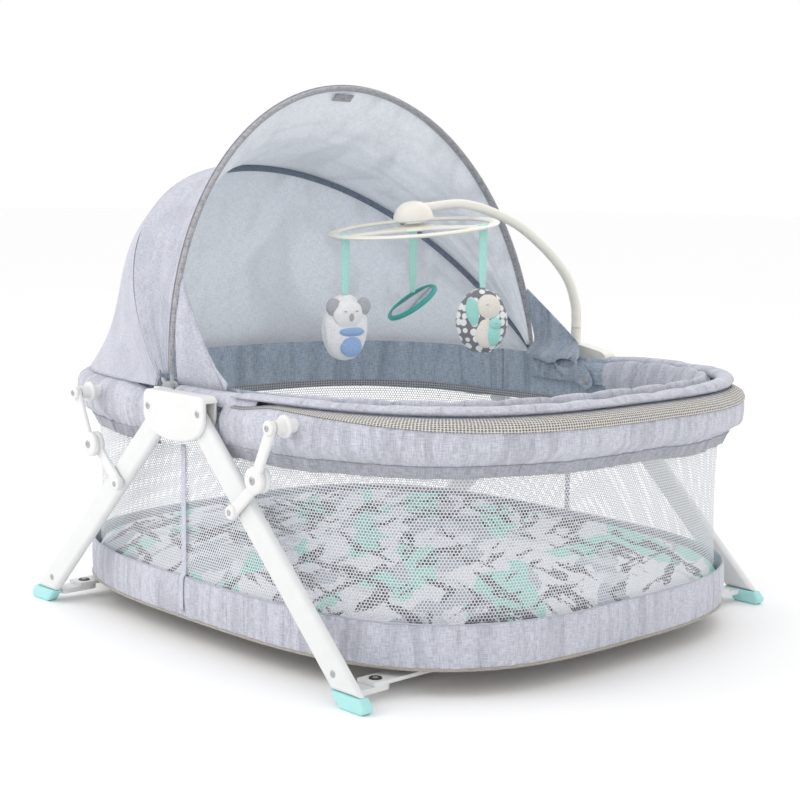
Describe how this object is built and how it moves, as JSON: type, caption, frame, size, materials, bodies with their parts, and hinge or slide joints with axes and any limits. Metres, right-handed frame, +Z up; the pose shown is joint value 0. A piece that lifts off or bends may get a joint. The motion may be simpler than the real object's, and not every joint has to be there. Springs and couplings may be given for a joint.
{
  "type": "bassinet on stand",
  "caption": "Travel bassinet with an oval net-sided tub on folding crossed legs, a folding canopy, a mattress pad and a hanging-toy mobile.",
  "frame": {"origin": "on the floor, under the middle of the tub", "axes": "+X towards the foot end, +Y towards the side that holds the mobile, +Z up"},
  "size_m": [0.788, 0.711, 0.6434],
  "materials": {
    "white_plastic": "satin moulded",
    "cream_plastic": "satin moulded",
    "mint_rubber": "matt",
    "heather_fabric": "heathered woven",
    "canopy_fabric": "woven, slightly creased",
    "net": "hexagon net",
    "mattress_print": "printed woven",
    "board": "hardboard",
    "steel": "plated",
    "white_metal": "powder coated",
    "bow_binding": "woven tape",
    "toy_plush": "short plush"
  },
  "bodies": {
    "frame": {"hub_cover_near": "white_plastic", "hub_cover_far": "white_plastic", "hub_back_near": "white_plastic", "hub_back_far": "white_plastic", "rim_stud_foot_near": "white_plastic", "rim_stud_foot_far": "white_plastic", "rim_stud_head_near": "white_plastic", "rim_stud_head_far": "white_plastic", "rim_tube_foot": "steel", "rim_tube_head": "steel", "rim_cover_foot": "heather_fabric", "rim_cover_head": "heather_fabric", "rim_pad": "heather_fabric", "inner_lining": "canopy_fabric", "net_wall": "net", "canopy_rear_panel": "heather_fabric", "mobile_socket": "cream_plastic", "mobile_post": "cream_plastic"},
    "tub_floor": {"base_band": "heather_fabric", "base_panel": "heather_fabric", "floor_board_foot": "board", "floor_board_head": "board", "mattress": "mattress_print"},
    "foot_legs": {"leg_foot_near": "white_metal", "leg_foot_far": "white_metal", "foot_cap_foot_near": "mint_rubber", "foot_cap_foot_far": "mint_rubber", "tongue_foot_near": "white_plastic", "tongue_foot_far": "white_plastic", "cross_bar_foot": "white_metal"},
    "head_legs": {"leg_head_near": "white_metal", "leg_head_far": "white_metal", "foot_cap_head_near": "mint_rubber", "foot_cap_head_far": "mint_rubber", "tongue_head_near": "white_plastic", "tongue_head_far": "white_plastic", "cross_bar_head": "white_metal"},
    "upper_brace_foot_near": {"knee_upper_foot_near": "white_plastic", "elbow_pin_foot_near": "steel"},
    "lower_brace_foot_near": {"knee_lower_foot_near": "white_plastic"},
    "upper_brace_foot_far": {"knee_upper_foot_far": "white_plastic", "elbow_pin_foot_far": "steel"},
    "lower_brace_foot_far": {"knee_lower_foot_far": "white_plastic"},
    "upper_brace_head_near": {"knee_upper_head_near": "white_plastic", "elbow_pin_head_near": "steel"},
    "lower_brace_head_near": {"knee_lower_head_near": "white_plastic"},
    "upper_brace_head_far": {"knee_upper_head_far": "white_plastic", "elbow_pin_head_far": "steel"},
    "lower_brace_head_far": {"knee_lower_head_far": "white_plastic"},
    "canopy_middle": {"bow_middle": "bow_binding", "canopy_front_panel": "canopy_fabric"},
    "canopy_front": {"bow_front": "bow_binding", "canopy_wing_near": "heather_fabric", "canopy_wing_far": "canopy_fabric"},
    "mobile_arm": {"mobile_arm": "cream_plastic", "mobile_dome": "cream_plastic"},
    "mobile_spinner": {"mobile_ring": "cream_plastic"},
    "toy_ears": {"toy_ears": "toy_plush"},
    "toy_mirror": {"toy_mirror": "toy_plush"},
    "toy_dots": {"toy_dots": "toy_plush"}
  },
  "joints": [
    {"name": "stand_fold", "type": "hinge", "parent": "frame", "child": "foot_legs", "pos_m": [0.024, 0, 0.27048], "axis": [0, -1, 0], "range_deg": [0, 27], "deforming": ["net_wall"]},
    {"name": "head_legs_fold", "type": "hinge", "parent": "frame", "child": "head_legs", "pos_m": [-0.024, 0, 0.27048], "axis": [0, 1, 0], "range_deg": [0, 27]},
    {"name": "brace_upper_foot_near", "type": "hinge", "parent": "frame", "child": "upper_brace_foot_near", "pos_m": [0.1825, -0.349, 0.2716], "axis": [0, -1, 0], "range_deg": [0, 46.1]},
    {"name": "brace_lower_foot_near", "type": "hinge", "parent": "upper_brace_foot_near", "child": "lower_brace_foot_near", "pos_m": [0.1555, -0.342, 0.214], "axis": [0, 1, 0], "range_deg": [0, 97]},
    {"name": "brace_upper_foot_far", "type": "hinge", "parent": "frame", "child": "upper_brace_foot_far", "pos_m": [0.1825, 0.349, 0.2716], "axis": [0, -1, 0], "range_deg": [0, 46.1]},
    {"name": "brace_lower_foot_far", "type": "hinge", "parent": "upper_brace_foot_far", "child": "lower_brace_foot_far", "pos_m": [0.1555, 0.342, 0.214], "axis": [0, 1, 0], "range_deg": [0, 97]},
    {"name": "brace_upper_head_near", "type": "hinge", "parent": "frame", "child": "upper_brace_head_near", "pos_m": [-0.1825, -0.349, 0.2716], "axis": [0, 1, 0], "range_deg": [0, 46.1]},
    {"name": "brace_lower_head_near", "type": "hinge", "parent": "upper_brace_head_near", "child": "lower_brace_head_near", "pos_m": [-0.1555, -0.342, 0.214], "axis": [0, -1, 0], "range_deg": [0, 97]},
    {"name": "brace_upper_head_far", "type": "hinge", "parent": "frame", "child": "upper_brace_head_far", "pos_m": [-0.1825, 0.349, 0.2716], "axis": [0, 1, 0], "range_deg": [0, 46.1]},
    {"name": "brace_lower_head_far", "type": "hinge", "parent": "upper_brace_head_far", "child": "lower_brace_head_far", "pos_m": [-0.1555, 0.342, 0.214], "axis": [0, -1, 0], "range_deg": [0, 97]},
    {"name": "floor_lift", "type": "slide", "parent": "frame", "child": "tub_floor", "axis": [0, 0, 1], "range_m": [0, 0.143]},
    {"name": "canopy_fold", "type": "hinge", "parent": "frame", "child": "canopy_middle", "pos_m": [-0.056, 0, 0.284], "axis": [0, -1, 0], "range_deg": [0, 40], "deforming": ["canopy_rear_panel"]},
    {"name": "canopy_front_fold", "type": "hinge", "parent": "canopy_middle", "child": "canopy_front", "pos_m": [-0.056, 0, 0.284], "axis": [0, -1, 0], "range_deg": [0, 28.1], "deforming": ["canopy_front_panel"]},
    {"name": "mobile_lift", "type": "slide", "parent": "frame", "child": "mobile_arm", "axis": [0, 0, 1], "range_m": [0, 0.03]},
    {"name": "mobile_spin", "type": "hinge", "parent": "mobile_arm", "child": "mobile_spinner", "pos_m": [0, 0.019, 0.466], "axis": [0, -0.1149, 0.9934], "continuous": true},
    {"name": "toy_ears_swing", "type": "hinge", "parent": "mobile_spinner", "child": "toy_ears", "pos_m": [-0.02176, -0.07388, 0.45525], "axis": [0.974, -0.2267, 0], "range_deg": [-16, 16]},
    {"name": "toy_mirror_swing", "type": "hinge", "parent": "mobile_spinner", "child": "toy_mirror", "pos_m": [-0.0701, 0.08416, 0.47354], "axis": [-0.6833, -0.7302, 0], "range_deg": [-16, 16]},
    {"name": "toy_dots_swing", "type": "hinge", "parent": "mobile_spinner", "child": "toy_dots", "pos_m": [0.09185, 0.04672, 0.46921], "axis": [-0.2907, 0.9568, 0], "range_deg": [-16, 16]}
  ],
  "couplings": [
    {"joint": "head_legs_fold", "follows": "stand_fold", "ratio": 1},
    {"joint": "brace_upper_foot_near", "follows": "stand_fold", "ratio": 1.7032},
    {"joint": "brace_lower_foot_near", "follows": "stand_fold", "ratio": 3.5823},
    {"joint": "brace_upper_foot_far", "follows": "stand_fold", "ratio": 1.7032},
    {"joint": "brace_lower_foot_far", "follows": "stand_fold", "ratio": 3.5823},
    {"joint": "brace_upper_head_near", "follows": "stand_fold", "ratio": 1.7032},
    {"joint": "brace_lower_head_near", "follows": "stand_fold", "ratio": 3.5823},
    {"joint": "brace_upper_head_far", "follows": "stand_fold", "ratio": 1.7032},
    {"joint": "brace_lower_head_far", "follows": "stand_fold", "ratio": 3.5823},
    {"joint": "floor_lift", "follows": "stand_fold", "m_per_rad": 0.3024},
    {"joint": "canopy_front_fold", "follows": "canopy_fold", "ratio": 0.7}
  ]
}
